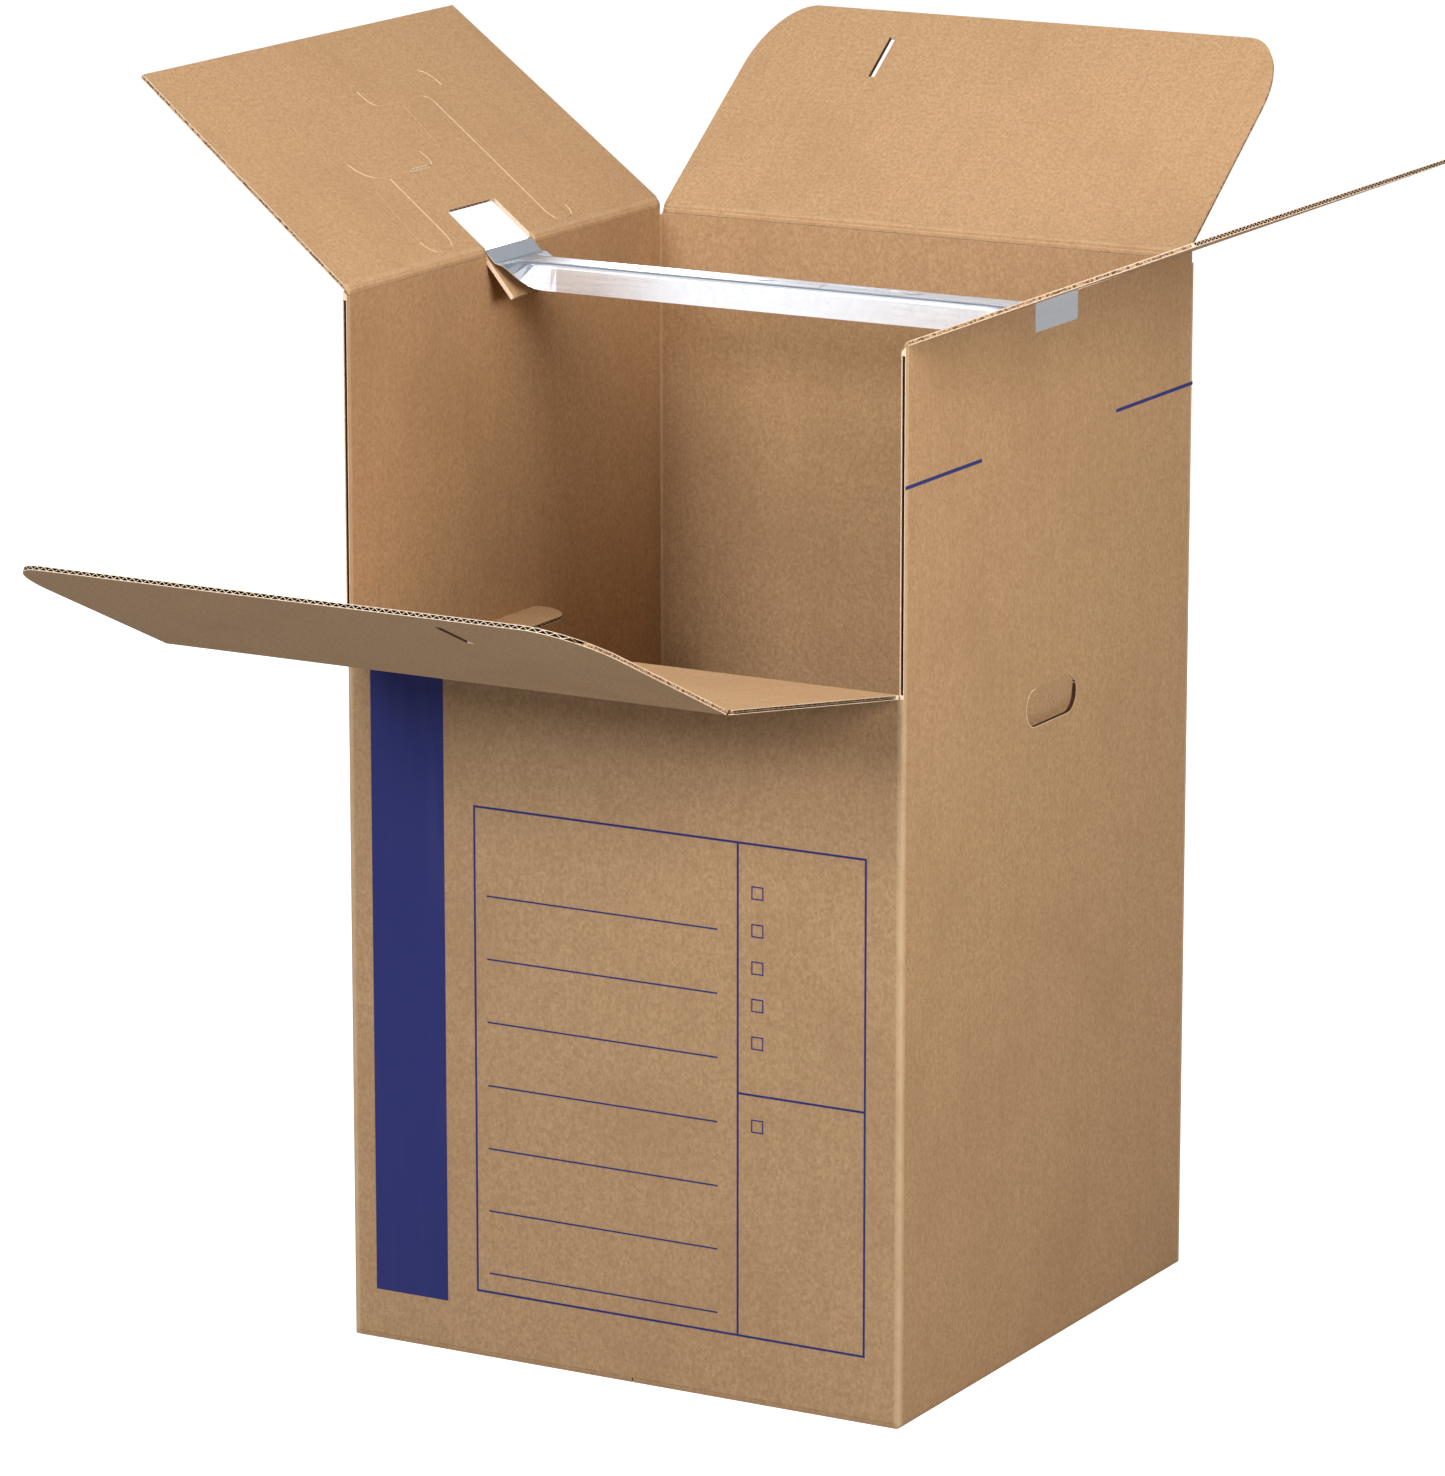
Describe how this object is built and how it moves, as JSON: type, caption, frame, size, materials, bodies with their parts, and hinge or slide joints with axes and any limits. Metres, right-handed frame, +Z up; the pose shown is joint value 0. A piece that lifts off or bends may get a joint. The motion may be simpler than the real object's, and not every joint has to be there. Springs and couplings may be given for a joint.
{
  "type": "wardrobe moving box",
  "caption": "Tall square corrugated carton with a fold-down front panel, locking top flaps, hand holes and a steel bar across the top for clothes hangers.",
  "frame": {"origin": "middle of the base, on the surface the box stands on", "axes": "+Z up; the front with the fold-down panel faces -Y; the hanging bar runs along X, and +X is the viewer's right"},
  "size_m": [1.1339, 1.4584, 1.2386],
  "materials": {
    "kraft_board": "matte",
    "zinc_steel": "satin"
  },
  "bodies": {
    "carton": {"carton_body": "kraft_board", "hang_bar": "zinc_steel"},
    "left_flap": {"left_top_flap": "kraft_board"},
    "right_flap": {"right_top_flap": "kraft_board"},
    "back_flap": {"back_top_flap": "kraft_board"},
    "access_panel": {"front_access_panel": "kraft_board"},
    "front_flap": {"front_top_flap": "kraft_board"}
  },
  "joints": [
    {"name": "left_flap_fold", "type": "hinge", "parent": "carton", "child": "left_flap", "pos_m": [-0.306, 0, 1.048], "axis": [0, 1, 0], "range_deg": [-113, 142]},
    {"name": "right_flap_fold", "type": "hinge", "parent": "carton", "child": "right_flap", "pos_m": [0.306, 0, 1.048], "axis": [0, -1, 0], "range_deg": [-96.8, 158.2]},
    {"name": "back_flap_fold", "type": "hinge", "parent": "carton", "child": "back_flap", "pos_m": [0, 0.306, 1.0431], "axis": [1, 0, 0], "range_deg": [-111.4, 143.6]},
    {"name": "access_panel_fold", "type": "hinge", "parent": "carton", "child": "access_panel", "pos_m": [0, -0.306, 0.714], "axis": [-1, 0, 0], "range_deg": [-79, 81]},
    {"name": "front_flap_fold", "type": "hinge", "parent": "access_panel", "child": "front_flap", "pos_m": [0, -0.63105, 0.76548], "axis": [-1, 0, 0], "range_deg": [-45.5, 74.5]}
  ]
}
